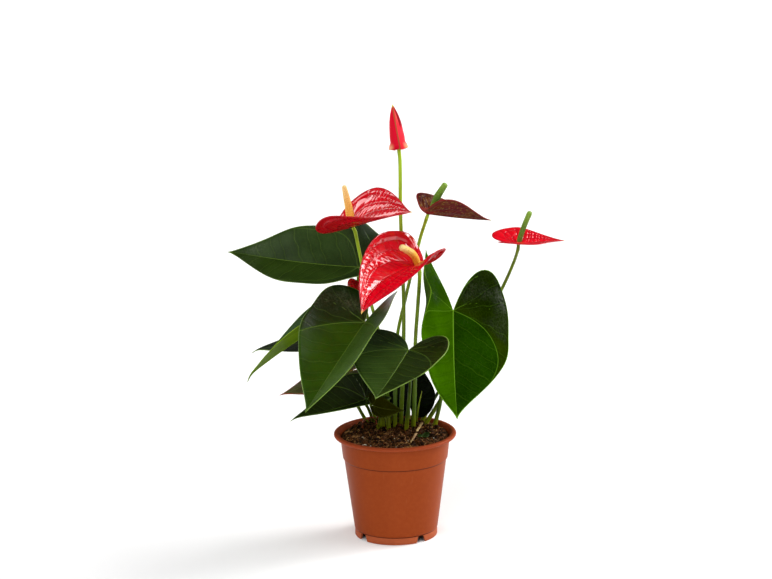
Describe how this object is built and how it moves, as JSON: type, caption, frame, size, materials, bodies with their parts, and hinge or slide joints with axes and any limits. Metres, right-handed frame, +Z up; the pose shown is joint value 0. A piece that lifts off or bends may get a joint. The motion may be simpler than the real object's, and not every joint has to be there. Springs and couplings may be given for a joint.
{
  "type": "potted anthurium",
  "caption": "Potted anthurium in a terracotta-coloured plastic nursery pot: heart-shaped leaves and glossy red flowers on long stalks over dark peat.",
  "frame": {"origin": "on the surface that the pot stands on, at the pot's axis, under the middle of the plant", "axes": "+Z up along the pot's axis, -Y towards the viewer who faces the plant's front, +X to that viewer's right"},
  "size_m": [0.3327, 0.2924, 0.4295],
  "materials": {
    "clay_plastic": "satin terracotta-coloured plastic",
    "peat": "rough, dark, moist peat",
    "leaf_green": "glossy green leaf",
    "leaf_dark_green": "glossy dark green leaf",
    "stalk_green": "smooth yellow-green stalk",
    "spathe_red": "waxy, very glossy red",
    "spathe_brown": "withered, satin red-brown",
    "spadix_yellow": "finely beaded yellow",
    "spadix_green": "finely beaded green",
    "dry_stalk": "dry, fibrous, tan to orange-brown"
  },
  "bodies": {
    "root": {"pot": "clay_plastic", "soil": "peat", "leaf_upper_left": "leaf_dark_green", "leaf_upper_left_stalk": "stalk_green", "leaf_front_left": "leaf_green", "leaf_front_left_stalk": "stalk_green", "leaf_front": "leaf_green", "leaf_front_stalk": "stalk_green", "leaf_right": "leaf_green", "leaf_right_stalk": "stalk_green", "leaf_left": "leaf_green", "leaf_left_stalk": "stalk_green", "leaf_back_low_left": "leaf_dark_green", "leaf_back_low_left_stalk": "stalk_green", "leaf_lower_left": "leaf_dark_green", "leaf_lower_left_stalk": "stalk_green", "leaf_low_left": "leaf_green", "leaf_low_left_stalk": "stalk_green", "leaf_upright": "leaf_dark_green", "leaf_upright_stalk": "stalk_green", "leaf_small": "leaf_green", "leaf_small_stalk": "stalk_green", "leaf_back_left": "leaf_dark_green", "leaf_back_left_stalk": "stalk_green", "leaf_back_right": "leaf_dark_green", "leaf_back_right_stalk": "stalk_green", "flower_left_spathe": "spathe_red", "flower_left_spadix": "spadix_yellow", "flower_left_stalk": "stalk_green", "flower_centre_spathe": "spathe_red", "flower_centre_spadix": "spadix_yellow", "flower_centre_stalk": "stalk_green", "flower_brown_spathe": "spathe_brown", "flower_brown_spadix": "spadix_green", "flower_brown_stalk": "stalk_green", "flower_right_spathe": "spathe_red", "flower_right_spadix": "spadix_green", "flower_right_stalk": "stalk_green", "young_flower_spathe": "spathe_red", "young_flower_stalk": "stalk_green", "bud_spathe": "spathe_red", "bud_stalk": "stalk_green", "leaf_spear": "stalk_green", "dry_sheath": "dry_stalk", "dry_stalk": "dry_stalk", "leaf_scrap": "leaf_dark_green"}
  },
  "joints": []
}
